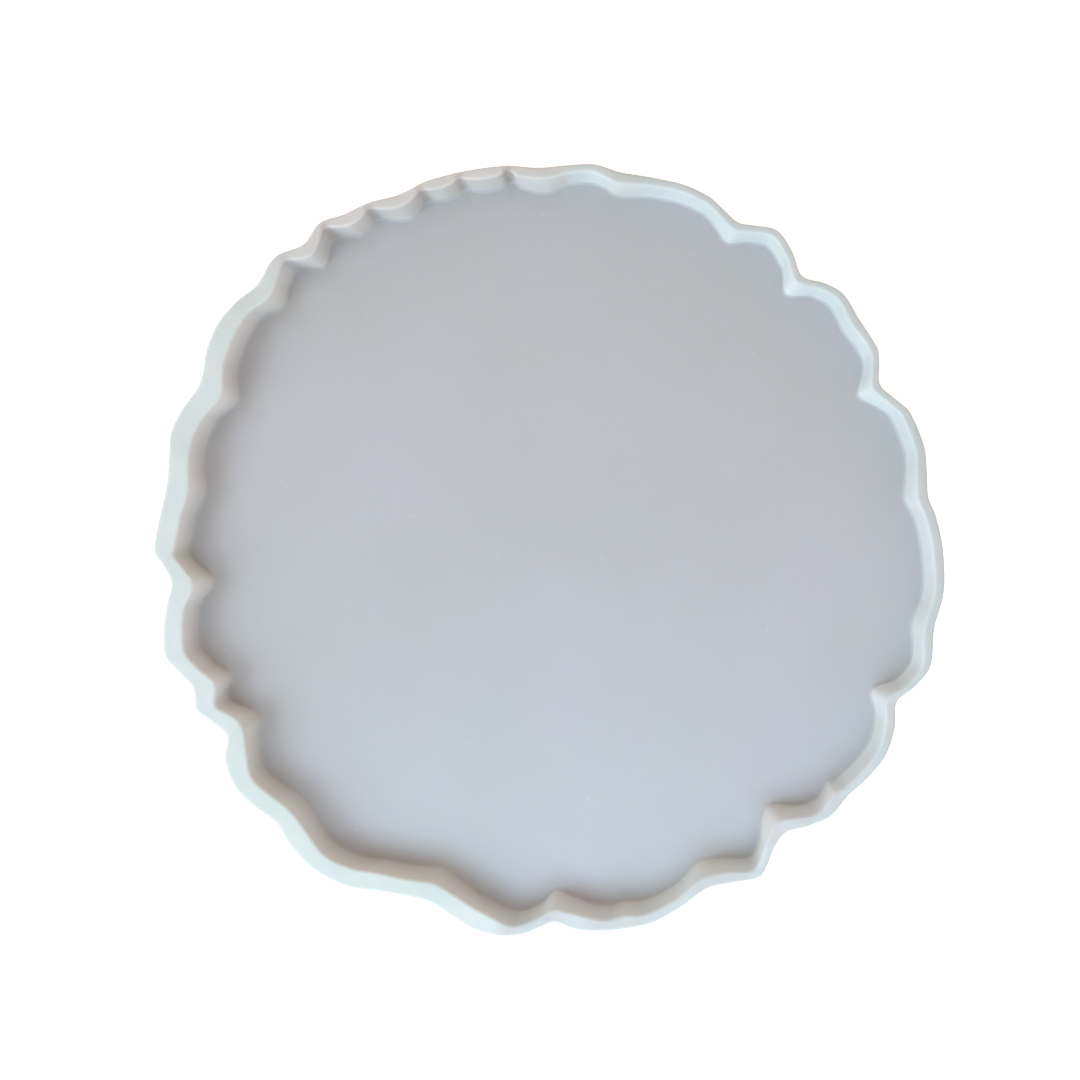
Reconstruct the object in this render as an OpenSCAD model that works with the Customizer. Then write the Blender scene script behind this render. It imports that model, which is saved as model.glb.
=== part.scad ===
// Open-topped silicone mould that casts one tray shaped like a slice of agate.
// A flat floor sheet lies on the table and one upright wall with a scalloped
// edge runs round it. Z = 0 is the table, the cavity opens upwards, and the
// origin is under the middle of the mould.

/* [Overall size] */
// Width of the mould over its outer edge, along X
mould_w = 200; // [140:1:260]
// Length of the mould over its outer edge, along Y
mould_l = 195; // [136:1:254]

/* [Cavity] */
// Depth of the cavity, which is the thickness of the finished casting
cavity_depth = 10; // [5:0.5:20]
// Thickness of the floor sheet under the casting
floor_t = 3; // [1.5:0.5:6]
// How far the cavity wall leans outwards between the floor and the rim
wall_draft = 0.5; // [0:0.1:1.5]
// Radius of the hollow corner where the cavity wall meets the floor
corner_r = 1; // [0.5:0.25:2.5]
// How much deeper the inward ridges of the cavity wall are at the floor
ridge_flare = 0.5; // [0:0.1:1.5]

/* [Wall] */
// Thickness of the wall at the rim, where its share is 1
wall_t = 4.5; // [3:0.25:7]
// Rounding of the two top edges of the rim
rim_r = 0.8; // [0.3:0.1:1.5]
// Rounding of the outer edge at the table
foot_r = 0.5; // [0.2:0.1:1]

/* [Smoothness] */
// Number of points round the edge
edge_points = 360; // [180:60:480]
// Steps in each rounded edge
round_steps = 2; // [1:1:3]

/* [Hidden] */

rim_z = floor_t + cavity_depth;

// Outer edge of the mould, seen from above: [direction in degrees from +X,
// reach from the centre]. Each high value is the tip of a scallop and each low
// one the notch beside it. Only the proportions matter, because the outline is
// stretched to mould_w by mould_l.
OUTER_EDGE = [
    [1, 99.5], [6, 98.2], [9.3, 96.9], [12.5, 97.6], [16.3, 98.5],
    [21.5, 97.9], [24, 96], [27, 94], [30, 96.4], [32, 97.8],
    [36.5, 98], [40.8, 98.9], [43.5, 97.7], [47, 94.8], [50.5, 97.7],
    [54, 99.5], [57, 97.5], [59.4, 96], [62, 97], [65, 98.4],
    [68, 98.7], [73, 98], [78, 97.4], [82, 98.3], [86, 97.5],
    [90, 96.8], [95, 97.8], [102, 98.2], [106.5, 98.3], [111, 97.5],
    [116, 98.9], [119.5, 99.3], [123.5, 100.9], [127.2, 99.1], [131.7, 101.4],
    [136.5, 99.7], [140, 100.9], [144, 101.5], [148, 100.5], [153.5, 97.8],
    [158, 99.4], [161.5, 100.2], [165.5, 99], [169.5, 98.1], [175, 99.1],
    [179.2, 100.1], [182, 97.5], [184.3, 95.9], [188, 98], [191.5, 99.9],
    [195, 101.1], [198, 98.8], [201.2, 96.8], [204.2, 98.1], [207, 95.8],
    [210, 94], [213, 97.7], [217.5, 99.8], [221.5, 99], [225, 97.7],
    [229.5, 99.5], [234, 100.5], [239, 99.5], [244, 96.4], [248, 94.5],
    [252, 93.5], [256, 95.2], [260, 97.5], [263, 98.1], [267, 97.1],
    [270, 94.9], [272.2, 93.5], [275, 95.3], [278, 96.4], [286.3, 97.2],
    [291, 96], [297, 93.8], [301, 95.5], [304.8, 97.6], [307.3, 95.6],
    [309.2, 93.6], [311.8, 92.6], [315, 95], [319.3, 97.5], [322, 97.3],
    [326, 98.4], [330, 99.2], [334.5, 97.9], [338.2, 95.6], [341, 98.1],
    [344.7, 100.4], [350.2, 99.1], [355.5, 100.1]
];

// Thickness of the wall at the rim, as a share of wall_t: [direction in
// degrees from +X, share]. The wall is thick on the -X side and thin towards
// +X and -Y, and on the +Y side narrow creases run up the cavity wall.
WALL_SHARE = [
    [0, 0.62], [10, 0.64], [17, 0.58], [27, 0.54], [34, 0.5],
    [37, 0.57], [41, 0.5], [47, 0.52], [54, 0.5], [59.5, 0.52],
    [64, 0.47], [73, 0.52], [78, 0.65], [84, 0.44], [89, 0.68],
    [93.2, 0.62], [94.7, 0.28], [96.3, 0.58], [98.4, 0.66], [100.3, 0.58],
    [102, 0.38], [103.5, 0.6], [105, 0.68], [106.5, 0.6], [108, 0.4],
    [110, 0.64], [112, 0.72], [114.3, 0.64], [116.2, 0.4], [118, 0.66],
    [119.8, 0.76], [121.5, 0.68], [123.3, 0.46], [125.2, 0.74], [127.2, 0.84],
    [129, 0.76], [130.7, 0.56], [132.6, 0.82], [136, 1.05], [140, 0.97],
    [145, 1.22], [150, 1.3], [153.5, 1.45], [158, 1.33], [161, 1.35],
    [165, 1.27], [170, 1.36], [174, 1.26], [178, 1.3], [180.5, 1.1],
    [186, 1.38], [189, 1.18], [195, 1.25], [198, 1.17], [202.5, 1.42],
    [205.7, 1.1], [208, 1.22], [210, 1.12], [213, 1.5], [218.5, 1.2],
    [222, 1.24], [225, 1.17], [229, 1.35], [235, 1.13], [241, 1.22],
    [247, 1.07], [254, 1.2], [259, 1.26], [262, 1.12], [266.5, 0.6],
    [269.5, 0.62], [275.5, 0.97], [281, 0.66], [283.5, 0.8], [286.5, 0.62],
    [292, 0.58], [297, 0.68], [301, 0.76], [304.6, 0.55], [308, 0.6],
    [313.5, 0.84], [317.5, 0.58], [321.3, 0.72], [323.3, 0.5], [330, 0.55],
    [337, 0.64], [341.5, 0.46], [345, 0.54], [349, 0.6], [355, 0.57]
];

// Half the stretch of edge, in degrees, that a ridge is measured against
RIDGE_SPAN = 8;
// Largest share of the wall's thickness that one rim rounding may take
RIM_ROUND_LIMIT = 0.45;

// ---- Smooth closed curve through a list of [direction, value] knots ----

// Knot number i, counted past either end of the list by whole turns
function knot(knots, i) =
    let (n = len(knots), turn = floor(i / n))
    [knots[i - turn * n][0] + turn * 360, knots[i - turn * n][1]];

// Slope of the straight line from knot i to the next one
function chord_slope(knots, i) =
    let (p = knot(knots, i), q = knot(knots, i + 1))
    (q[1] - p[1]) / (q[0] - p[0]);

// Slope of the curve at knot i: level at a tip or a notch, and elsewhere the
// harmonic mean of the two chords, so the curve never overshoots a knot
function knot_slope(knots, i) =
    let (before = chord_slope(knots, i - 1), after = chord_slope(knots, i))
    before * after <= 0 ? 0 : 2 * before * after / (before + after);

// Value of the cubic between knot i and the next one, in direction a
function cubic_value(knots, i, a) =
    let (
        p = knot(knots, i),
        q = knot(knots, i + 1),
        run = q[0] - p[0],
        t = (a - p[0]) / run,
        rise = q[1] - p[1],
        lead = knot_slope(knots, i) * run - rise,
        tail = rise - knot_slope(knots, i + 1) * run
    )
    p[1] + t * rise + t * (1 - t) * ((1 - t) * lead + t * tail);

// Value of the closed curve in direction a
function curve_value(knots, a, i = -1) =
    knot(knots, i + 1)[0] > a ? cubic_value(knots, i, a) : curve_value(knots, a, i + 1);

// ---- The edge, worked out at every direction ----

directions = [for (i = [0 : edge_points - 1]) i * 360 / edge_points];

// Outer edge before it is stretched to size
raw_edge = [for (a = directions) curve_value(OUTER_EDGE, a) * [cos(a), sin(a)]];
raw_x = [for (p = raw_edge) p.x];
raw_y = [for (p = raw_edge) p.y];

function span(values) = max(values) - min(values);
function middle(values) = (max(values) + min(values)) / 2;

outer_edge = [
    for (p = raw_edge) [
        (p.x - middle(raw_x)) * mould_w / span(raw_x),
        (p.y - middle(raw_y)) * mould_l / span(raw_y)
    ]
];

// Thickness of the wall at the rim, and how far the rim's inner edge reaches
rim_thickness = [for (a = directions) wall_t * curve_value(WALL_SHARE, a)];
inner_reach = [for (i = [0 : edge_points - 1]) norm(outer_edge[i]) - rim_thickness[i]];

// Mean of the inner reach over RIDGE_SPAN on both sides of point i
ridge_points = round(RIDGE_SPAN * edge_points / 360);
function mean_reach(i) =
    let (
        steps = [-ridge_points : ridge_points],
        reach = [for (k = steps) inner_reach[(i + k + edge_points) % edge_points]],
        ones = [for (r = reach) 1]
    )
    reach * ones / len(reach);

// Inset of the cavity wall at the floor, and of the hollow corner's toe
base_inset = [
    for (i = [0 : edge_points - 1])
        rim_thickness[i] + wall_draft + ridge_flare * max(0, mean_reach(i) - inner_reach[i])
];
toe_inset = [for (inset = base_inset) inset + corner_r];

// The point a given distance in from the outer edge, towards the centre
function inset_point(i, inset) = outer_edge[i] * (1 - inset / norm(outer_edge[i]));

// ---- Sections ----

// Points [inset, height] of a rounded edge that turns from one angle to another
function round_edge(centre, r, from_a, to_a) = [
    for (k = [0 : round_steps])
        let (a = from_a + (to_a - from_a) * k / round_steps)
        centre + r * [cos(a), sin(a)]
];

// Section of the wall at point i, from the corner's toe up the cavity side,
// over the rim, down the outside and back under: [inset, height]
function wall_section(i) =
    let (
        thick = rim_thickness[i],
        rim_round = min(rim_r, RIM_ROUND_LIMIT * thick)
    )
    concat(
        [[toe_inset[i], 0]],
        round_edge([toe_inset[i], floor_t + corner_r], corner_r, 270, 180),
        round_edge([thick - rim_round, rim_z - rim_round], rim_round, 0, 90),
        round_edge([rim_round, rim_z - rim_round], rim_round, 90, 180),
        round_edge([foot_r, foot_r], foot_r, 180, 270)
    );

section_points = len(wall_section(0));

// ---- Pieces ----

// Upright scalloped wall: the section carried round the edge
module rim_wall() {
    points = [
        for (i = [0 : edge_points - 1])
            for (s = wall_section(i))
                [inset_point(i, s[0]).x, inset_point(i, s[0]).y, s[1]]
    ];
    function at(i, j) = (i % edge_points) * section_points + j % section_points;
    faces = [
        for (i = [0 : edge_points - 1])
            for (j = [0 : section_points - 1])
                each [
                    [at(i, j), at(i, j + 1), at(i + 1, j + 1)],
                    [at(i, j), at(i + 1, j + 1), at(i + 1, j)]
                ]
    ];
    color([0.88, 0.93, 0.93])
        polyhedron(points, faces, convexity = 6);
}

// Flat sheet that fills the wall ring from the table up to the cavity floor
module floor_sheet() {
    color([0.74, 0.76, 0.79])
        linear_extrude(floor_t)
            polygon([for (i = [0 : edge_points - 1]) inset_point(i, toe_inset[i])]);
}

rim_wall();
floor_sheet();
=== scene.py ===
import math

import bpy
import numpy as np
from bpy.props import FloatProperty, FloatVectorProperty, IntProperty, PointerProperty
from mathutils import Matrix, Vector


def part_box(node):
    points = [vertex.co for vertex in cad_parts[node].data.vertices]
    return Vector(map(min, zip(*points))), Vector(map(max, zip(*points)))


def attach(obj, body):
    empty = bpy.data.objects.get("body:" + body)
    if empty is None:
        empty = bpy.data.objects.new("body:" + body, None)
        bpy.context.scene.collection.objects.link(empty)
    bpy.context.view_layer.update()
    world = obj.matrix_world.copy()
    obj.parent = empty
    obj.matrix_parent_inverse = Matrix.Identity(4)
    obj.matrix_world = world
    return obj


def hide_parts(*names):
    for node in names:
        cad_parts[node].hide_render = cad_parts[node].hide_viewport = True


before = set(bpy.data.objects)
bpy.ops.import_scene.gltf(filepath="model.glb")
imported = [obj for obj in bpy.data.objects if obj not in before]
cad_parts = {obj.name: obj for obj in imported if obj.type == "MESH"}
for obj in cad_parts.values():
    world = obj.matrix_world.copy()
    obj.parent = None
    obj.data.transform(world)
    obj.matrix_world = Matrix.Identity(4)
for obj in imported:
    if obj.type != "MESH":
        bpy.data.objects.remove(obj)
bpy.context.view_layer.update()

bl_info = {
    "name": "Agate Tray Mould",
    "version": (1, 0, 0),
    "blender": (4, 5, 0),
    "location": "3D View > Sidebar > Mould",
    "description": "Builds a milky silicone casting mould with a scalloped wall, and its stage",
    "category": "Add Mesh",
}

WALL_LOW, WALL_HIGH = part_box("rim_wall")
_, SHEET_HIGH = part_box("floor_sheet")

# Outer edge of the mould, seen from above: [direction in degrees from +X,
# reach from the centre]. Each high value is the tip of a scallop and each low
# one the notch beside it. Only the proportions matter, because the outline is
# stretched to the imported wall's box.
OUTER_EDGE = np.array([
    [1, 99.5], [6, 98.2], [9.3, 96.9], [12.5, 97.6], [16.3, 98.5],
    [21.5, 97.9], [24, 96], [27, 94], [30, 96.4], [32, 97.8],
    [36.5, 98], [40.8, 98.9], [43.5, 97.7], [47, 94.8], [50.5, 97.7],
    [54, 99.5], [57, 97.5], [59.4, 96], [62, 97], [65, 98.4],
    [68, 98.7], [73, 98], [78, 97.4], [82, 98.3], [86, 97.5],
    [90, 96.8], [95, 97.8], [102, 98.2], [106.5, 98.3], [111, 97.5],
    [116, 98.9], [119.5, 99.3], [123.5, 100.9], [127.2, 99.1], [131.7, 101.4],
    [136.5, 99.7], [140, 100.9], [144, 101.5], [148, 100.5], [153.5, 97.8],
    [158, 99.4], [161.5, 100.2], [165.5, 99], [169.5, 98.1], [175, 99.1],
    [179.2, 100.1], [182, 97.5], [184.3, 95.9], [188, 98], [191.5, 99.9],
    [195, 101.1], [198, 98.8], [201.2, 96.8], [204.2, 98.1], [207, 95.8],
    [210, 94], [213, 97.7], [217.5, 99.8], [221.5, 99], [225, 97.7],
    [229.5, 99.5], [234, 100.5], [239, 99.5], [244, 96.4], [248, 94.5],
    [252, 93.5], [256, 95.2], [260, 97.5], [263, 98.1], [267, 97.1],
    [270, 94.9], [272.2, 93.5], [275, 95.3], [278, 96.4], [286.3, 97.2],
    [291, 96], [297, 93.8], [301, 95.5], [304.8, 97.6], [307.3, 95.6],
    [309.2, 93.6], [311.8, 92.6], [315, 95], [319.3, 97.5], [322, 97.3],
    [326, 98.4], [330, 99.2], [334.5, 97.9], [338.2, 95.6], [341, 98.1],
    [344.7, 100.4], [350.2, 99.1], [355.5, 100.1],
])

# Thickness of the wall at the rim, as a share of the wall thickness setting:
# [direction in degrees from +X, share].
WALL_SHARE = np.array([
    [0, 0.62], [10, 0.64], [17, 0.58], [27, 0.54], [34, 0.5],
    [37, 0.57], [41, 0.5], [47, 0.52], [54, 0.5], [59.5, 0.52],
    [64, 0.47], [73, 0.52], [78, 0.65], [84, 0.44], [89, 0.68],
    [93.2, 0.62], [94.7, 0.28], [96.3, 0.58], [98.4, 0.66], [100.3, 0.58],
    [102, 0.38], [103.5, 0.6], [105, 0.68], [106.5, 0.6], [108, 0.4],
    [110, 0.64], [112, 0.72], [114.3, 0.64], [116.2, 0.4], [118, 0.66],
    [119.8, 0.76], [121.5, 0.68], [123.3, 0.46], [125.2, 0.74], [127.2, 0.84],
    [129, 0.76], [130.7, 0.56], [132.6, 0.82], [136, 1.05], [140, 0.97],
    [145, 1.22], [150, 1.3], [153.5, 1.45], [158, 1.33], [161, 1.35],
    [165, 1.27], [170, 1.36], [174, 1.26], [178, 1.3], [180.5, 1.1],
    [186, 1.38], [189, 1.18], [195, 1.25], [198, 1.17], [202.5, 1.42],
    [205.7, 1.1], [208, 1.22], [210, 1.12], [213, 1.5], [218.5, 1.2],
    [222, 1.24], [225, 1.17], [229, 1.35], [235, 1.13], [241, 1.22],
    [247, 1.07], [254, 1.2], [259, 1.26], [262, 1.12], [266.5, 0.6],
    [269.5, 0.62], [275.5, 0.97], [281, 0.66], [283.5, 0.8], [286.5, 0.62],
    [292, 0.58], [297, 0.68], [301, 0.76], [304.6, 0.55], [308, 0.6],
    [313.5, 0.84], [317.5, 0.58], [321.3, 0.72], [323.3, 0.5], [330, 0.55],
    [337, 0.64], [341.5, 0.46], [345, 0.54], [349, 0.6], [355, 0.57],
])

# Half the stretch of edge that a ridge is measured against
RIDGE_SPAN = math.radians(8)
# Largest share of the wall's thickness that one rim rounding may take
RIM_ROUND_LIMIT = 0.45
# Half the stretch of edge that a crease is measured against, and how much
# thinner than that stretch a faint and a full crease are, as a share
CREASE_SPAN = math.radians(2.5)
CREASE_DEPTHS = (0.04, 0.36)
# How much of a crease's painted shade shows on the outside of the rim and on the floor, and the share of
# the way to the middle over which it fades there
CREASE_OUTSIDE = 0.4
CREASE_ON_FLOOR = 0.35
CREASE_REACH = 0.05
# Half the stretch of edge over which creases spread a painted warm shade on the wall and rim between
# them, and the mean crease over it at which that painted shade is full
FOLD_SPAN = math.radians(9)
FOLD_FULL = 0.16
# Wall shares at which the wall counts as thin and thick, which pick the thin and thick colours, lit and
# shaded copies with painted light and shade, and the place of the middle rim colour between thin (0) and
# thick (1)
BODY_SHARES = (0.55, 1.05)
MIDDLE_BODY = 0.3
# How far the warm shade at the foot of a thick wall runs into the floor, and
# its strength there
FOOT_REACH = 0.008
FOOT_ON_FLOOR = 0.8

# Marks on the points of the silicone that its material reads: body picks lit and shaded copies of the
# colours, and foot, crease and fold say where painted shade goes
MARKS = ("milk", "cavity", "body", "foot", "crease", "fold")

# Rows of points: on the underside, as shares of the way out to the toe of the
# hollow corner, and on the floor, as shares of the way in from it to the middle
UNDER_ROWS = (0.25, 0.55, 0.8, 0.93, 1.0)
FLOOR_ROWS = (0.01, 0.025, 0.05, 0.09, 0.15, 0.23, 0.33, 0.44, 0.56, 0.68, 0.8, 0.9)

# Places of the lights: direction from +X and rise in degrees, distance and size in metres
WINDOW_PLACE = (208, 37, 1.0, 0.6)
FRONT_PLACE = (274, 55, 0.36, 0.25)

# Table top: its radius, the gap between it and the mould, its number of sides,
# and the share of its tone that its dimmer clouds keep
TABLE_RADIUS = 12.0
TABLE_GAP = 0.0002
TABLE_SIDES = 96
TABLE_DIM = 0.985


# ---- Settings ----

class MouldSizes(bpy.types.PropertyGroup):
    """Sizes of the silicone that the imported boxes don't give"""

    wall: FloatProperty(
        name="Wall", description="Wall thickness at the rim where its share is 1",
        default=0.0045, min=0.003, max=0.007, unit="LENGTH", precision=4)
    draft: FloatProperty(
        name="Draft", description="How far the cavity wall leans outwards from floor to rim",
        default=0.0005, min=0.0, max=0.0015, unit="LENGTH", precision=4)
    corner: FloatProperty(
        name="Corner radius", description="Hollow corner between the cavity wall and the floor",
        default=0.001, min=0.0005, max=0.0025, unit="LENGTH", precision=4)
    flare: FloatProperty(
        name="Ridge flare", description="How much deeper the inward ridges are at the floor",
        default=0.5, min=0.0, max=1.5)
    rim_round: FloatProperty(
        name="Rim rounding", description="Radius of the two top edges of the wall",
        default=0.0008, min=0.0003, max=0.0015, unit="LENGTH", precision=4)
    foot_round: FloatProperty(
        name="Foot rounding", description="Radius of the outer edge at the table",
        default=0.0005, min=0.0002, max=0.001, unit="LENGTH", precision=4)
    wave: FloatProperty(
        name="Surface wave", description="Height of the slow waves left by the pour",
        default=0.00006, min=0.0, max=0.0003, unit="LENGTH", precision=5)
    columns: IntProperty(
        name="Columns", description="Number of sections round the wall",
        default=1440, min=360, max=1500)


class MouldFinish(bpy.types.PropertyGroup):
    """Colours, patterns and gloss of the silicone, with colours that paint light and shade on it"""

    # Partly the milkier tint of thick silicone, partly painted light: the thick rim is on the window
    # side and is painted lighter
    thick_lit_rim: FloatVectorProperty(
        name="Thick rim colour", description="Rim and outside where the wall is thick and milky",
        subtype="COLOR", size=3, default=(0.535, 0.565, 0.535), min=0.0, max=1.0)
    # Painted shade: this rim colour is painted dimmer and warmer, as where less light falls at the top
    middle_shaded_rim: FloatVectorProperty(
        name="Middle rim colour", description="Rim and outside where the wall is a little thicker",
        subtype="COLOR", size=3, default=(0.485, 0.485, 0.465), min=0.0, max=1.0)
    thin_rim: FloatVectorProperty(
        name="Thin rim colour", description="Rim and outside where the wall is thin",
        subtype="COLOR", size=3, default=(0.49, 0.525, 0.515), min=0.0, max=1.0)
    # Painted shade: the thick walls lie away from the window, and this colour is the warm shade of that
    # side, lighter near the top
    thick_shaded_wall: FloatVectorProperty(
        name="Thick wall colour", description="Cavity wall where it is thick, so no light comes through",
        subtype="COLOR", size=3, default=(0.68, 0.65, 0.61), min=0.0, max=1.0)
    # Painted light: the thin walls are mostly on the side facing the window, and this colour is the
    # light that falls on them and comes through
    thin_lit_wall: FloatVectorProperty(
        name="Thin wall colour", description="Cavity wall where it is thin and light comes through",
        subtype="COLOR", size=3, default=(0.62, 0.66, 0.64), min=0.0, max=1.0)
    # Painted shade: a thick wall darkens towards its foot, where shade and the hollow corner's shadow
    # fall
    foot_shade_tone: FloatVectorProperty(
        name="Foot colour", description="Warmer silicone of a thick wall towards its foot",
        subtype="COLOR", size=3, default=(0.55, 0.525, 0.50), min=0.0, max=1.0)
    shade_tone: FloatVectorProperty(
        name="Shade colour", description="Floor beside the foot of a thick wall, which gets less light",
        subtype="COLOR", size=3, default=(0.395, 0.37, 0.35), min=0.0, max=1.0)
    # Painted shade: the folded stretch at the top left is painted warmer and dimmer, as where the light
    # is weaker and warmer
    fold_shade_tone: FloatVectorProperty(
        name="Fold colour", description="Warmer silicone of the wall and rim between the creases",
        subtype="COLOR", size=3, default=(0.545, 0.515, 0.49), min=0.0, max=1.0)
    # Painted shade: the creases are darkened where shade falls in them
    crease_shade_tone: FloatVectorProperty(
        name="Crease colour", description="Silicone so thin that it looks darker, in the creases",
        subtype="COLOR", size=3, default=(0.40, 0.365, 0.34), min=0.0, max=1.0)
    sheet_tone: FloatVectorProperty(
        name="Floor colour", description="Thin silicone of the floor, which looks greyer",
        subtype="COLOR", size=3, default=(0.437, 0.433, 0.436), min=0.0, max=1.0)
    dim_tint: FloatVectorProperty(
        name="Dim tint", description="Tint of the darker clouds, faintly green",
        subtype="COLOR", size=3, default=(0.955, 0.975, 0.94), min=0.0, max=1.2)
    bright_tint: FloatVectorProperty(
        name="Bright tint", description="Tint of the brighter clouds, faintly lavender",
        subtype="COLOR", size=3, default=(1.035, 1.015, 1.055), min=0.0, max=1.2)
    mottle_dim: FloatVectorProperty(
        name="Mottle dim", description="Tint of the darker patches of the wall",
        subtype="COLOR", size=3, default=(0.95, 0.965, 0.96), min=0.0, max=1.2)
    mottle_bright: FloatVectorProperty(
        name="Mottle bright", description="Tint of the whiter patches of the wall",
        subtype="COLOR", size=3, default=(1.06, 1.04, 1.045), min=0.0, max=1.2)
    dust_tone: FloatVectorProperty(
        name="Dust colour", description="Fine white dust that clings to the silicone",
        subtype="COLOR", size=3, default=(0.86, 0.87, 0.86), min=0.0, max=1.0)
    wall_rough: FloatProperty(
        name="Wall roughness", description="Satin skin of the wall",
        default=0.46, min=0.0, max=1.0, subtype="FACTOR")
    sheet_rough: FloatProperty(
        name="Floor roughness", description="Smoother skin of the floor",
        default=0.38, min=0.0, max=1.0, subtype="FACTOR")
    cloud_scale: FloatProperty(
        name="Cloud scale", description="Soft clouds of the pour for each metre",
        default=22.0, min=1.0, max=100.0)
    cloud_contrast: FloatProperty(
        name="Cloud contrast", description="Contrast of the soft clouds",
        default=1.4, min=0.0, max=5.0)
    mottle_scale: FloatProperty(
        name="Mottle scale", description="Patches of the wall for each metre",
        default=90.0, min=10.0, max=400.0)
    mottle_contrast: FloatProperty(
        name="Mottle contrast", description="Contrast of the wall's patches",
        default=1.8, min=0.0, max=5.0)
    dust_scale: FloatProperty(
        name="Dust scale", description="Places where a speck of dust may lie, for each metre",
        default=260.0, min=50.0, max=1000.0)
    dust_share: FloatProperty(
        name="Dust share", description="Share of those places that hold a speck",
        default=0.10, min=0.0, max=1.0, subtype="FACTOR")
    dust_strength: FloatProperty(
        name="Dust strength", description="How strongly a speck shows",
        default=0.12, min=0.0, max=1.0, subtype="FACTOR")
    smudge: FloatProperty(
        name="Smudge", description="How much rougher or smoother the clouds make the skin",
        default=0.05, min=0.0, max=0.2)
    grain_scale: FloatProperty(
        name="Grain scale", description="Satin grains for each metre",
        default=1800.0, min=200.0, max=5000.0)
    grain_strength: FloatProperty(
        name="Grain strength", description="Strength of the satin grain",
        default=0.25, min=0.0, max=1.0, subtype="FACTOR")
    grain_height: FloatProperty(
        name="Grain height", description="Height of the satin grain",
        default=0.00003, min=0.0, max=0.001, unit="LENGTH", precision=5)
    glow: FloatProperty(
        name="Glow", description="Share of light that travels through the silicone",
        default=1.0, min=0.0, max=1.0, subtype="FACTOR")
    glow_depth: FloatProperty(
        name="Glow depth", description="How far light travels in the silicone",
        default=0.0009, min=0.0002, max=0.01, unit="LENGTH", precision=4)


class StageSettings(bpy.types.PropertyGroup):
    """Floor, light and camera"""

    floor_tone: FloatVectorProperty(
        name="Table colour", description="Plain pale table", subtype="COLOR",
        size=3, default=(0.93, 0.93, 0.93), min=0.0, max=1.0)
    floor_glow: FloatProperty(
        name="Table glow", description="White that only the camera sees, to keep shadows faint",
        default=0.45, min=0.0, max=2.0)
    ambient_tone: FloatVectorProperty(
        name="Ambient colour", description="Slightly warm light of the room", subtype="COLOR",
        size=3, default=(1.0, 0.885, 0.81), min=0.0, max=1.0)
    ambient: FloatProperty(
        name="Ambient strength", description="Strength of the room's light",
        default=0.93, min=0.0, max=5.0)
    key_tone: FloatVectorProperty(
        name="Window colour", description="Slightly cool daylight", subtype="COLOR",
        size=3, default=(0.64, 0.85, 1.0), min=0.0, max=1.0)
    fill_tone: FloatVectorProperty(
        name="Front colour", description="Cooler light of the open side of the room", subtype="COLOR",
        size=3, default=(0.45, 0.74, 1.0), min=0.0, max=1.0)
    key_watts: FloatProperty(
        name="Window power", description="Power of the soft light on the left",
        default=6.5, min=0.0, max=100.0)
    fill_watts: FloatProperty(
        name="Front power", description="Power of the soft light at the front",
        default=0.72, min=0.0, max=100.0)
    view_tilt: FloatProperty(
        name="View tilt", description="Angle of the line of sight from straight down",
        default=math.radians(6), min=0.0, max=math.radians(80), subtype="ANGLE")
    view_turn: FloatProperty(
        name="View turn", description="Side from which the camera looks, from +X",
        default=math.radians(30), min=-math.pi, max=math.pi, subtype="ANGLE")
    view_distance: FloatProperty(
        name="View distance", description="Distance from the camera to its aim",
        default=0.342, min=0.1, max=5.0, unit="LENGTH")
    view_aim: FloatVectorProperty(
        name="View aim", description="Point of the rim plane in the middle of the view",
        size=2, default=(0.0003, 0.0043), unit="LENGTH")
    view_lens: FloatProperty(
        name="Focal length", description="Focal length in millimetres on a 36 mm sensor",
        default=45.36, min=10.0, max=200.0)


# ---- The closed curve through the knots ----

def curve_through(knots, angles):
    """Value in each direction of a closed curve through [direction in degrees, value] knots.

    Between two knots the curve is a cubic. Its slope at a knot is the harmonic
    mean of the two chords' slopes, or level where they turn, so it never
    overshoots a knot.
    """
    turn = 2 * math.pi
    at = np.radians(knots[:, 0])
    at = np.concatenate([at - turn, at, at + turn])
    value = np.tile(knots[:, 1], 3)
    chord = np.diff(value) / np.diff(at)
    before, after = chord[:-1], chord[1:]
    same_way = before * after > 0
    total = np.where(same_way, before + after, 1.0)
    slope = np.zeros(len(at))
    slope[1:-1] = np.where(same_way, 2 * before * after / total, 0.0)
    i = np.searchsorted(at, angles, side="right") - 1
    run = at[i + 1] - at[i]
    rise = value[i + 1] - value[i]
    t = (angles - at[i]) / run
    lead = slope[i] * run - rise
    tail = rise - slope[i + 1] * run
    return value[i] + t * rise + t * (1 - t) * ((1 - t) * lead + t * tail)


def smooth_step(t):
    """0 below 0, 1 above 1, and 3t^2 - 2t^3 between."""
    t = np.clip(t, 0.0, 1.0)
    return t * t * (3 - 2 * t)


# ---- The silicone surface ----

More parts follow.
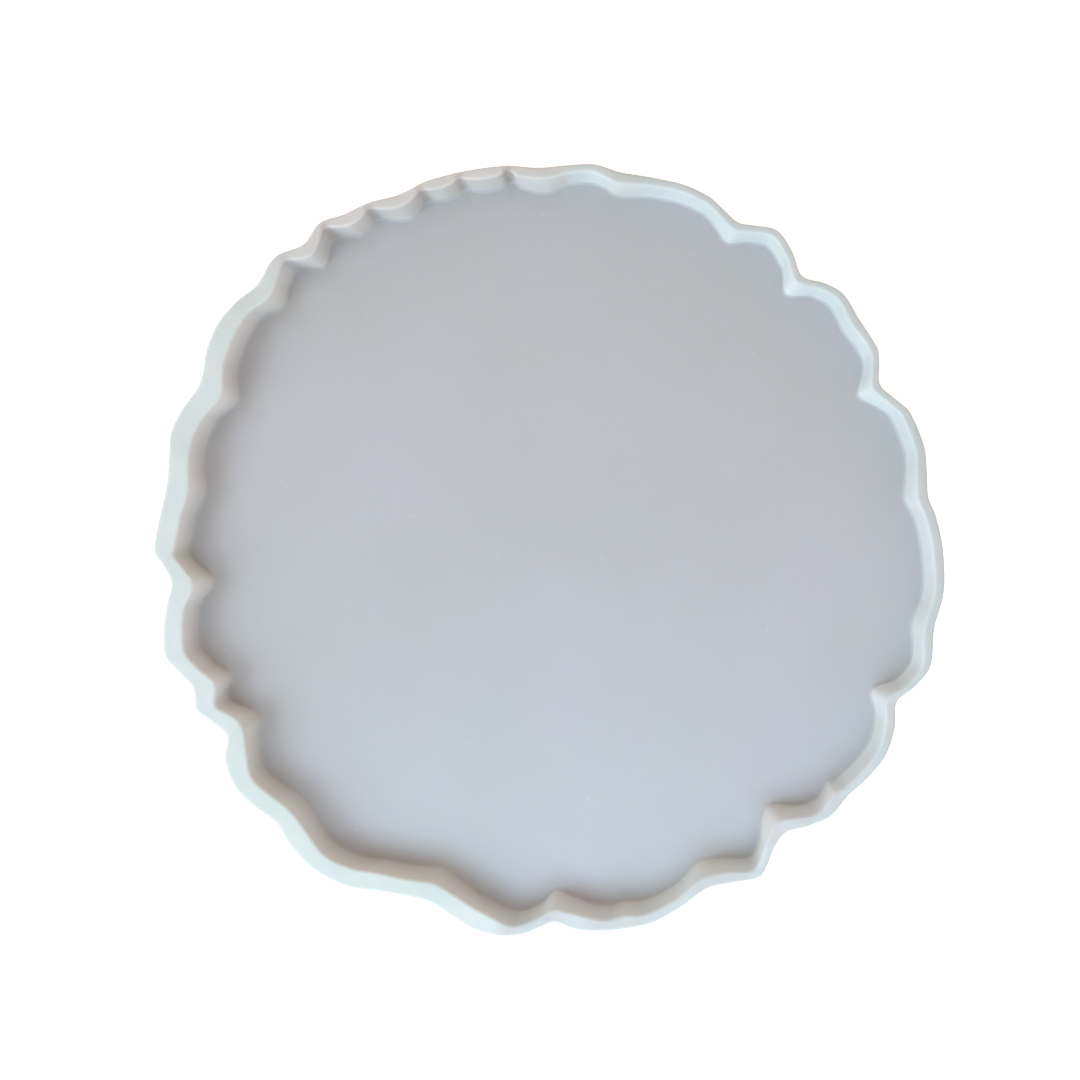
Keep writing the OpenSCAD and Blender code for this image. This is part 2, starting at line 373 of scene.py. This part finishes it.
class Plan:
    """The mould seen from above, as arrays with one entry for each direction u.

    edge is the outer edge, reach its distance from the centre, rim the wall's
    thickness at the rim, base the cavity wall's inset at the floor, and toe
    the inset where the hollow corner ends in the flat floor. body goes from 0
    where the wall is thin to 1 where it is thick, crease is 1 in a crease, and
    fold is 1 all along a stretch with creases.
    """

    def __init__(self, sizes):
        self.angles = np.arange(sizes.columns) * 2 * math.pi / sizes.columns
        reach = curve_through(OUTER_EDGE, self.angles)
        raw = np.stack([reach * np.cos(self.angles), reach * np.sin(self.angles)], axis=1)
        low, high = raw.min(axis=0), raw.max(axis=0)
        width = np.array([WALL_HIGH.x - WALL_LOW.x, WALL_HIGH.y - WALL_LOW.y])
        middle = np.array([WALL_HIGH.x + WALL_LOW.x, WALL_HIGH.y + WALL_LOW.y]) / 2
        self.edge = (raw - (low + high) / 2) * width / (high - low) + middle
        self.reach = np.linalg.norm(self.edge, axis=1)
        self.rim = sizes.wall * curve_through(WALL_SHARE, self.angles)
        inner = self.reach - self.rim
        ridge = np.maximum(0, self.mean_around(inner, RIDGE_SPAN) - inner)
        self.base = self.rim + sizes.draft + sizes.flare * ridge
        self.toe = self.base + sizes.corner
        thin, thick = BODY_SHARES
        self.body = np.clip((self.rim / sizes.wall - thin) / (thick - thin), 0, 1)
        faint, full = CREASE_DEPTHS
        thinner = 1 - self.rim / self.mean_around(self.rim, CREASE_SPAN)
        self.crease = smooth_step((thinner - faint) / (full - faint))
        self.fold = smooth_step(self.mean_around(self.crease, FOLD_SPAN) / FOLD_FULL)

    def mean_around(self, values, half_span):
        """Mean of the values within half a span, in radians, on both sides of each direction."""
        steps = round(half_span / (2 * math.pi) * len(self.angles))
        return np.mean([np.roll(values, k) for k in range(-steps, steps + 1)], axis=0)

    def slow_wave(self, turns, seed):
        """Sum of a few sine waves round the wall, each a whole number of turns, between -1 and 1."""
        draw = np.random.default_rng(seed)
        phases = draw.uniform(0, 2 * math.pi, len(turns))
        waves = [np.sin(n * self.angles + p) for n, p in zip(turns, phases)]
        return np.sum(waves, axis=0) / len(turns)


def arc(inset, height, radius, start, end, steps):
    """Rows of a rounded edge: centre plus radius times (cos a, sin a), with a in degrees."""
    a = np.radians(np.linspace(start, end, steps + 1))[:, None]
    return inset + radius * np.cos(a), height + radius * np.sin(a)


def ramp(first, last, shares):
    """Rows that go in a straight line from first to last, at the given shares of the way."""
    share = np.asarray(shares)[:, None]
    return first + (last - first) * share


def silicone_rows(plan, sizes):
    """Section of the mould in every direction: inset from the outer edge, height, and four marks.

    The rows run from the middle of the underside out to the foot, up the
    outside, over the rim, down the cavity wall, through the hollow corner and
    in to the middle of the floor. Each is an array over the directions u.
    The marks go from 0 to 1: milk is 0 in the thin floor sheet, cavity is 1 below the rim's inner edge,
    foot is the painted shade, 1 at the base of a thick wall, which fades up the wall and into the floor,
    and crease is the painted shade of a crease, as much as it shows.
    """
    low, rim_z, sheet_z = WALL_LOW.z, WALL_HIGH.z, SHEET_HIGH.z
    flat = np.zeros_like(plan.reach)
    bulge = np.minimum(sizes.rim_round, RIM_ROUND_LIMIT * plan.rim)
    dip = sizes.wave * (plan.slow_wave(turns=(2, 3, 5, 9), seed=4) - 1) / 2
    top = rim_z + dip
    parts = []

    def add(*values):
        """Adds rows of (inset, height, milk, cavity, foot, crease), each an array or one number."""
        shape = np.broadcast_shapes(*(np.shape(value) for value in values), flat.shape)
        parts.append(np.stack([np.broadcast_to(value, shape) for value in values]))

    under = ramp(plan.reach, plan.toe, UNDER_ROWS)
    add(under, low, 0, 0, 0, 0)
    outer_under = ramp(plan.toe, sizes.foot_round + flat, [0.3, 0.6, 0.85])
    add(outer_under, low, np.array([0.3, 0.7, 0.95])[:, None], 0, 0, 0)
    inset, height = arc(sizes.foot_round, low + sizes.foot_round, sizes.foot_round, 270, 180, 4)
    add(inset, height, 1, 0, 0, 0)
    outside = ramp(low + sizes.foot_round, top - bulge, [0.15, 0.35, 0.6, 0.85])
    add(0, outside, 1, 0, 0, 0)
    inset, height = arc(bulge, top - bulge, bulge, 180, 90, 6)
    # Painted crease shade: faint on the rim's outer rounding, growing across the rim top, full down the
    # cavity wall
    crease_rise = smooth_step(1 - (top - height) / bulge)
    add(inset, height, 1, 0, 0, CREASE_OUTSIDE * plan.crease * crease_rise)
    shares = [0.25, 0.5, 0.75]
    crease_across = ramp(CREASE_OUTSIDE, 1, shares) * plan.crease
    add(ramp(bulge, plan.rim - bulge, shares), top, 1, 0, 0, crease_across)
    inset, height = arc(plan.rim - bulge, top - bulge, bulge, 90, 0, 6)
    add(inset, height, 1, smooth_step((top - height) / bulge), 0, plan.crease)
    shares = np.linspace(0, 1, 12)[1:-1]
    wall_z = ramp(top - bulge, sheet_z + sizes.corner + flat, shares)
    # Painted shade: a thick wall darkens from none at its top to full at its foot
    wall_foot_shade = np.sqrt(plan.body)
    add(ramp(plan.rim, plan.base, shares), wall_z, 1, 1, ramp(0, wall_foot_shade, shares), plan.crease)
    inset, height = arc(plan.toe, sheet_z + sizes.corner, sizes.corner, 180, 270, 6)
    up_corner = smooth_step((height - sheet_z) / sizes.corner)
    # The painted shade runs round the hollow corner and onto the floor beside a thick wall
    floor_foot_shade = FOOT_ON_FLOOR * plan.body
    corner_foot_shade = floor_foot_shade + (wall_foot_shade - floor_foot_shade) * up_corner
    corner_crease = (CREASE_ON_FLOOR + (1 - CREASE_ON_FLOOR) * up_corner) * plan.crease
    add(inset, height, up_corner, 1, corner_foot_shade, corner_crease)
    inward = np.array(FLOOR_ROWS)
    in_rows = ramp(plan.toe, plan.reach, inward)
    swell = sizes.wave * plan.slow_wave(turns=(1, 2, 4, 5), seed=11)
    fade = np.sin(np.pi * inward)[:, None]
    # Painted shade of the creases and of the thick walls' feet, fading into the floor
    crease_fade = smooth_step(1 - inward / CREASE_REACH)[:, None]
    foot_fade = smooth_step(1 - (in_rows - plan.toe) / FOOT_REACH)
    floor_crease = CREASE_ON_FLOOR * plan.crease * crease_fade
    add(in_rows, sheet_z + swell * fade, 0, 1, foot_fade * floor_foot_shade, floor_crease)
    return np.concatenate(parts, axis=1)


def closed_mesh(name, rows, first_pole, last_pole):
    """Mesh of a grid of points [row, column, xyz] whose columns join up, closed by a fan at each end.

    Quad (v, u) joins columns u and u + 1 between rows v and v + 1, so faces
    point outwards when the columns run anticlockwise and the rows run up the
    outside.
    """
    count_v, count_u = rows.shape[:2]
    points = np.concatenate([rows.reshape(-1, 3), [first_pole, last_pole]])
    u = np.arange(count_u)
    after = np.roll(u, -1)
    v = np.arange(count_v - 1)[:, None] * count_u
    quads = np.stack([v + u, v + after, v + count_u + after, v + count_u + u], axis=-1).reshape(-1, 4)
    last_row = (count_v - 1) * count_u
    first_tip, last_tip = len(points) - 2, len(points) - 1
    first_fan = np.stack([np.full(count_u, first_tip), after, u], axis=1)
    last_fan = np.stack([last_row + u, last_row + after, np.full(count_u, last_tip)], axis=1)
    corners = np.concatenate([quads.ravel(), first_fan.ravel(), last_fan.ravel()]).astype(np.int32)
    sizes = np.concatenate([np.full(len(quads), 4), np.full(2 * count_u, 3)]).astype(np.int32)
    starts = np.concatenate([[0], np.cumsum(sizes)[:-1]]).astype(np.int32)
    mesh = bpy.data.meshes.new(name)
    mesh.vertices.add(len(points))
    mesh.vertices.foreach_set("co", points.astype(np.float32).ravel())
    mesh.loops.add(len(corners))
    mesh.loops.foreach_set("vertex_index", corners)
    mesh.polygons.add(len(sizes))
    mesh.polygons.foreach_set("loop_start", starts)
    mesh.polygons.foreach_set("use_smooth", np.ones(len(sizes), bool))
    mesh.update(calc_edges=True)
    if mesh.validate():
        raise RuntimeError(f"{name} has faulty faces")
    return mesh


def point_value(mesh, name, values):
    """Gives each point of the mesh a number that its material reads."""
    attribute = mesh.attributes.new(name, "FLOAT", "POINT")
    attribute.data.foreach_set("value", np.asarray(values, np.float32))


def build_silicone(sizes):
    """The whole moulding as one surface: point (v, u) lies on the line from edge[u] to the centre.

    Its place is edge[u] times (1 - inset[v, u] / reach[u]), at height[v, u].
    """
    plan = Plan(sizes)
    inset, height, milk, cavity, foot, crease = silicone_rows(plan, sizes)
    body = np.broadcast_to(plan.body, milk.shape)
    fold = np.broadcast_to(plan.fold, milk.shape)
    share = 1 - inset / plan.reach
    rows = np.stack([plan.edge[:, 0] * share, plan.edge[:, 1] * share, height], axis=-1)
    under_middle = (0.0, 0.0, WALL_LOW.z)
    floor_middle = (0.0, 0.0, SHEET_HIGH.z)
    mesh = closed_mesh("silicone_mould", rows, under_middle, floor_middle)
    for name, mark in zip(MARKS, (milk, cavity, body, foot, crease, fold)):
        point_value(mesh, name, np.append(mark.ravel(), [0.0, 0.0]))
    piece = bpy.data.objects.new("silicone_mould", mesh)
    bpy.context.scene.collection.objects.link(piece)
    return piece


# ---- Materials ----

def node_at(tree, kind, place, **settings):
    """Adds a node of a kind at a place in the tree, with its settings."""
    node = tree.nodes.new(kind)
    node.location = place
    for name, value in settings.items():
        setattr(node, name, value)
    return node


def blend_colours(tree, place, factor, first, second, mode="MIX"):
    """The result of a colour mix node, whose factor and colours are each a socket or a fixed value."""
    node = node_at(tree, "ShaderNodeMix", place, data_type="RGBA", blend_type=mode)
    for socket, given in zip((node.inputs[0], node.inputs[6], node.inputs[7]), (factor, first, second)):
        if isinstance(given, bpy.types.NodeSocket):
            tree.links.new(given, socket)
        elif isinstance(given, float):
            socket.default_value = given
        else:
            socket.default_value = (*given, 1.0)
    return node.outputs[2]


def new_group(name, inputs, output):
    """An empty node group with number inputs, a vector input called Place, and one number output."""
    group = bpy.data.node_groups.new(name, "ShaderNodeTree")
    group.interface.new_socket("Place", in_out="INPUT", socket_type="NodeSocketVector")
    for label, value in inputs:
        socket = group.interface.new_socket(label, in_out="INPUT", socket_type="NodeSocketFloat")
        socket.default_value = value
    group.interface.new_socket(output, in_out="OUTPUT", socket_type="NodeSocketFloat")
    source = node_at(group, "NodeGroupInput", (-800, 0))
    sink = node_at(group, "NodeGroupOutput", (600, 0))
    return group, source, sink


def cloud_group():
    """Soft clouds between 0 and 1: noise whose distance from one half is multiplied by Contrast."""
    group, source, sink = new_group("pour_clouds", [("Per metre", 25.0), ("Contrast", 1.0)], "Cloud")
    link = group.links.new
    noise = node_at(group, "ShaderNodeTexNoise", (-400, 100))
    noise.inputs["Detail"].default_value = 3.0
    noise.inputs["Roughness"].default_value = 0.45
    spread = node_at(group, "ShaderNodeMath", (-100, 100), operation="SUBTRACT")
    spread.inputs[1].default_value = 0.5
    scaled = node_at(group, "ShaderNodeMath", (100, 100), operation="MULTIPLY")
    centred = node_at(group, "ShaderNodeMath", (300, 100), operation="ADD", use_clamp=True)
    centred.inputs[1].default_value = 0.5
    link(source.outputs["Place"], noise.inputs["Vector"])
    link(source.outputs["Per metre"], noise.inputs["Scale"])
    link(noise.outputs[0], spread.inputs[0])
    link(spread.outputs[0], scaled.inputs[0])
    link(source.outputs["Contrast"], scaled.inputs[1])
    link(scaled.outputs[0], centred.inputs[0])
    link(centred.outputs[0], sink.inputs["Cloud"])
    return group


def speck_group():
    """Round specks of dust: 1 inside a small circle in some cells of a Voronoi pattern, 0 elsewhere."""
    group, source, sink = new_group("dust_specks", [("Per metre", 300.0), ("Share", 0.2)], "Speck")
    link = group.links.new
    cells = node_at(group, "ShaderNodeTexVoronoi", (-500, 100))
    edge = node_at(group, "ShaderNodeMapRange", (-200, 100))
    edge.inputs["From Min"].default_value = 0.10
    edge.inputs["From Max"].default_value = 0.06
    pick = node_at(group, "ShaderNodeSeparateColor", (-300, -150))
    chosen = node_at(group, "ShaderNodeMath", (-100, -150), operation="LESS_THAN")
    both = node_at(group, "ShaderNodeMath", (200, 0), operation="MULTIPLY")
    link(source.outputs["Place"], cells.inputs["Vector"])
    link(source.outputs["Per metre"], cells.inputs["Scale"])
    link(cells.outputs["Distance"], edge.inputs["Value"])
    link(cells.outputs["Color"], pick.inputs["Color"])
    link(pick.outputs[0], chosen.inputs[0])
    link(source.outputs["Share"], chosen.inputs[1])
    link(edge.outputs[0], both.inputs[0])
    link(chosen.outputs[0], both.inputs[1])
    link(both.outputs[0], sink.inputs["Speck"])
    return group


def new_material(name):
    """A material with a Principled shader, and its tree and shader."""
    material = bpy.data.materials.new(name)
    material.use_nodes = True
    tree = material.node_tree
    tree.nodes.clear()
    shader = node_at(tree, "ShaderNodeBsdfPrincipled", (600, 0))
    output = node_at(tree, "ShaderNodeOutputMaterial", (900, 0))
    tree.links.new(shader.outputs[0], output.inputs[0])
    return material, tree, shader


def silicone_material(finish, clouds, specks):
    """Milky silicone whose tone follows its marks, with painted light and shade: lit and shaded copies
    of the rim and wall, and painted shade at the feet of thick walls, over the folds and in the creases;
    faintly clouded, mottled, dusty and grained.
    """
    material, tree, shader = new_material("milky_silicone")
    link = tree.links.new
    place = node_at(tree, "ShaderNodeTexCoord", (-1300, 0))
    milk, cavity, body, foot, crease, fold = (
        node_at(tree, "ShaderNodeAttribute", (-1300, 300 + 200 * i), attribute_name=name).outputs["Fac"]
        for i, name in enumerate(MARKS))
    cloud = node_at(tree, "ShaderNodeGroup", (-1000, 0), node_tree=clouds)
    cloud.inputs["Per metre"].default_value = finish.cloud_scale
    cloud.inputs["Contrast"].default_value = finish.cloud_contrast
    link(place.outputs["Object"], cloud.inputs["Place"])

    # Rim and outside: colour by wall thickness, partly the silicone's own tint and partly painted light
    # and shade, lighter on the thick window side and dimmer and warmer at the middle thickness
    rim = node_at(tree, "ShaderNodeValToRGB", (-1050, 800))
    rim.color_ramp.elements.new(MIDDLE_BODY)
    rim_colours = (finish.thin_rim, finish.middle_shaded_rim, finish.thick_lit_rim)
    for stop, colour in zip(rim.color_ramp.elements, rim_colours):
        stop.color = (*colour, 1.0)
    link(body, rim.inputs[0])
    # Cavity wall: lit and shaded copies of one silicone, picked by thickness, with painted light on the
    # thin walls and painted warm shade on the thick walls away from the window
    wall = blend_colours(tree, (-1000, 600), body, finish.thin_lit_wall, finish.thick_shaded_wall)
    upright = blend_colours(tree, (-800, 700), cavity, rim.outputs[0], wall)
    # Painted warm shade over the stretches of wall and rim with creases
    fold_shaded = blend_colours(tree, (-700, 600), fold, upright, finish.fold_shade_tone)
    whole = blend_colours(tree, (-600, 500), milk, finish.sheet_tone, fold_shaded)
    # Painted shade at the foot of a thick wall and on the floor beside it
    foot_shade_colour = blend_colours(tree, (-600, 300), milk, finish.shade_tone, finish.foot_shade_tone)
    foot_shaded = blend_colours(tree, (-500, 450), foot, whole, foot_shade_colour)
    # Painted shade in the creases
    crease_shaded = blend_colours(tree, (-400, 400), crease, foot_shaded, finish.crease_shade_tone)

    tint = blend_colours(tree, (-700, 0), cloud.outputs[0], finish.dim_tint, finish.bright_tint)
    clouded = blend_colours(tree, (-200, 300), 1.0, crease_shaded, tint, "MULTIPLY")
    mottle = node_at(tree, "ShaderNodeGroup", (-1000, -500), node_tree=clouds)
    mottle.inputs["Per metre"].default_value = finish.mottle_scale
    mottle.inputs["Contrast"].default_value = finish.mottle_contrast
    link(place.outputs["Object"], mottle.inputs["Place"])
    milky = blend_colours(tree, (-600, -500), mottle.outputs[0], finish.mottle_dim, finish.mottle_bright)
    mottled = blend_colours(tree, (-100, 300), milk, clouded, milky, "MULTIPLY")

    dust = node_at(tree, "ShaderNodeGroup", (-1000, -300), node_tree=specks)
    dust.inputs["Per metre"].default_value = finish.dust_scale
    dust.inputs["Share"].default_value = finish.dust_share
    link(place.outputs["Object"], dust.inputs["Place"])
    faint = node_at(tree, "ShaderNodeMath", (-700, -300), operation="MULTIPLY")
    faint.inputs[1].default_value = finish.dust_strength
    link(dust.outputs[0], faint.inputs[0])
    dusted = blend_colours(tree, (0, 200), faint.outputs[0], mottled, finish.dust_tone)
    link(dusted, shader.inputs["Base Color"])

    gloss = node_at(tree, "ShaderNodeMapRange", (-400, -150))
    gloss.inputs["To Min"].default_value = finish.sheet_rough
    gloss.inputs["To Max"].default_value = finish.wall_rough
    link(milk, gloss.inputs["Value"])
    smudge = node_at(tree, "ShaderNodeMapRange", (-400, -400))
    smudge.inputs["To Min"].default_value = -finish.smudge
    smudge.inputs["To Max"].default_value = finish.smudge
    link(cloud.outputs[0], smudge.inputs["Value"])
    rough = node_at(tree, "ShaderNodeMath", (-100, -200), operation="ADD")
    link(gloss.outputs[0], rough.inputs[0])
    link(smudge.outputs[0], rough.inputs[1])
    link(rough.outputs[0], shader.inputs["Roughness"])

    grain = node_at(tree, "ShaderNodeTexNoise", (-400, -700))
    grain.inputs["Scale"].default_value = finish.grain_scale
    grain.inputs["Detail"].default_value = 2.0
    relief = node_at(tree, "ShaderNodeBump", (100, -500))
    relief.inputs["Strength"].default_value = finish.grain_strength
    relief.inputs["Distance"].default_value = finish.grain_height
    link(place.outputs["Object"], grain.inputs["Vector"])
    link(grain.outputs[0], relief.inputs["Height"])
    link(relief.outputs[0], shader.inputs["Normal"])

    shader.inputs["IOR"].default_value = 1.41
    shader.inputs["Subsurface Weight"].default_value = finish.glow
    shader.inputs["Subsurface Radius"].default_value = (1.0, 0.75, 0.55)
    shader.inputs["Subsurface Scale"].default_value = finish.glow_depth
    return material


def table_material(stage, clouds):
    """Plain pale table, very slightly uneven in tone."""
    material, tree, shader = new_material("pale_table")
    link = tree.links.new
    place = node_at(tree, "ShaderNodeTexCoord", (-900, 0))
    cloud = node_at(tree, "ShaderNodeGroup", (-600, 0), node_tree=clouds)
    cloud.inputs["Per metre"].default_value = 3.0
    link(place.outputs["Object"], cloud.inputs["Place"])
    darker = [TABLE_DIM * channel for channel in stage.floor_tone]
    tone = blend_colours(tree, (-200, 100), cloud.outputs[0], darker, stage.floor_tone)
    link(tone, shader.inputs["Base Color"])
    shader.inputs["Roughness"].default_value = 0.75
    shader.inputs["Specular IOR Level"].default_value = 0.2
    rays = node_at(tree, "ShaderNodeLightPath", (-200, -300))
    link(rays.outputs["Is Camera Ray"], shader.inputs["Emission Color"])
    shader.inputs["Emission Strength"].default_value = stage.floor_glow
    return material


# ---- Stage ----

def add_table(stage, clouds):
    """A round table top far larger than the mould, just under its flat base."""
    turn = np.arange(TABLE_SIDES) * 2 * math.pi / TABLE_SIDES
    height = np.full(TABLE_SIDES, WALL_LOW.z - TABLE_GAP)
    ring = np.stack([TABLE_RADIUS * np.cos(turn), TABLE_RADIUS * np.sin(turn), height], axis=1)
    mesh = bpy.data.meshes.new("table_top")
    mesh.from_pydata(ring.tolist(), [], [list(range(TABLE_SIDES))])
    mesh.update()
    table = bpy.data.objects.new("table_top", mesh)
    mesh.materials.append(table_material(stage, clouds))
    bpy.context.scene.collection.objects.link(table)


def add_soft_light(name, place, watts, tone):
    """A square soft light that faces the mould from its place."""
    turn, rise, distance, size = place
    data = bpy.data.lights.new(name, "AREA")
    data.shape = "SQUARE"
    data.size = size
    data.energy = watts
    data.color = tone
    light = bpy.data.objects.new(name, data)
    around, up = math.radians(turn), math.radians(rise)
    level = math.cos(up)
    towards = Vector((level * math.cos(around), level * math.sin(around), math.sin(up)))
    light.rotation_mode = "QUATERNION"
    light.location = towards * distance
    light.rotation_quaternion = towards.to_track_quat("Z", "Y")
    bpy.context.scene.collection.objects.link(light)


def add_room(stage):
    """Even light from all round, and a white surround where the camera looks past the table."""
    world = bpy.data.worlds.new("studio")
    world.use_nodes = True
    tree = world.node_tree
    tree.nodes.clear()
    lit = node_at(tree, "ShaderNodeBackground", (-200, 100))
    lit.inputs["Color"].default_value = (*stage.ambient_tone, 1.0)
    lit.inputs["Strength"].default_value = stage.ambient
    seen = node_at(tree, "ShaderNodeBackground", (-200, -100))
    seen.inputs["Color"].default_value = (1.0, 1.0, 1.0, 1.0)
    rays = node_at(tree, "ShaderNodeLightPath", (-200, 400))
    pick = node_at(tree, "ShaderNodeMixShader", (100, 0))
    output = node_at(tree, "ShaderNodeOutputWorld", (300, 0))
    tree.links.new(rays.outputs["Is Camera Ray"], pick.inputs[0])
    tree.links.new(lit.outputs[0], pick.inputs[1])
    tree.links.new(seen.outputs[0], pick.inputs[2])
    tree.links.new(pick.outputs[0], output.inputs[0])
    bpy.context.scene.world = world


def add_camera(stage):
    """A camera that looks almost straight down at the rim plane, with +Y upwards in the view."""
    data = bpy.data.cameras.new("camera")
    data.sensor_width = 36.0
    data.lens = stage.view_lens
    camera = bpy.data.objects.new("camera", data)
    tilt, turn = stage.view_tilt, stage.view_turn
    back = Vector((math.sin(tilt) * math.cos(turn), math.sin(tilt) * math.sin(turn), math.cos(tilt)))
    right = Vector((0, 1, 0)).cross(back).normalized()
    up = back.cross(right)
    aim = Vector((*stage.view_aim, WALL_HIGH.z))
    turned = Matrix((right, up, back)).transposed().to_4x4()
    camera.matrix_world = Matrix.Translation(aim + back * stage.view_distance) @ turned
    bpy.context.scene.collection.objects.link(camera)
    bpy.context.scene.camera = camera


# ---- Operators and panel ----

def shared_group(name, make):
    """The node group of that name, made on first use."""
    return bpy.data.node_groups.get(name) or make()


class MOULD_OT_silicone(bpy.types.Operator):
    """Build the silicone moulding with its wall and floor as one seamless surface"""

    bl_idname = "mould.silicone"
    bl_label = "Silicone Mould"

    def execute(self, context):
        scene = context.scene
        piece = build_silicone(scene.mould_sizes)
        clouds = shared_group("pour_clouds", cloud_group)
        specks = shared_group("dust_specks", speck_group)
        piece.data.materials.append(silicone_material(scene.mould_finish, clouds, specks))
        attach(piece, "root")
        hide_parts("rim_wall", "floor_sheet")
        return {"FINISHED"}


class MOULD_OT_stage(bpy.types.Operator):
    """Set the table, the soft lights and the camera"""

    bl_idname = "mould.stage"
    bl_label = "Stage"

    def execute(self, context):
        stage = context.scene.mould_stage
        add_table(stage, shared_group("pour_clouds", cloud_group))
        add_soft_light("window", WINDOW_PLACE, stage.key_watts, stage.key_tone)
        add_soft_light("front", FRONT_PLACE, stage.fill_watts, stage.fill_tone)
        add_room(stage)
        add_camera(stage)
        context.scene.view_settings.view_transform = "Standard"
        return {"FINISHED"}


class MOULD_PT_panel(bpy.types.Panel):
    """Settings and build buttons of the mould"""

    bl_idname = "MOULD_PT_panel"
    bl_label = "Agate Tray Mould"
    bl_space_type = "VIEW_3D"
    bl_region_type = "UI"
    bl_category = "Mould"

    def draw(self, context):
        for group in (context.scene.mould_sizes, context.scene.mould_finish, context.scene.mould_stage):
            box = self.layout.box()
            for name in group.__annotations__:
                box.prop(group, name)
        self.layout.operator(MOULD_OT_silicone.bl_idname)
        self.layout.operator(MOULD_OT_stage.bl_idname)


CLASSES = (MouldSizes, MouldFinish, StageSettings, MOULD_OT_silicone, MOULD_OT_stage, MOULD_PT_panel)


def register():
    for item in CLASSES:
        bpy.utils.register_class(item)
    bpy.types.Scene.mould_sizes = PointerProperty(type=MouldSizes)
    bpy.types.Scene.mould_finish = PointerProperty(type=MouldFinish)
    bpy.types.Scene.mould_stage = PointerProperty(type=StageSettings)


def unregister():
    del bpy.types.Scene.mould_stage
    del bpy.types.Scene.mould_finish
    del bpy.types.Scene.mould_sizes
    for item in reversed(CLASSES):
        bpy.utils.unregister_class(item)


def main():
    register()
    bpy.ops.mould.silicone()
    bpy.ops.mould.stage()


if __name__ == "__main__":
    main()
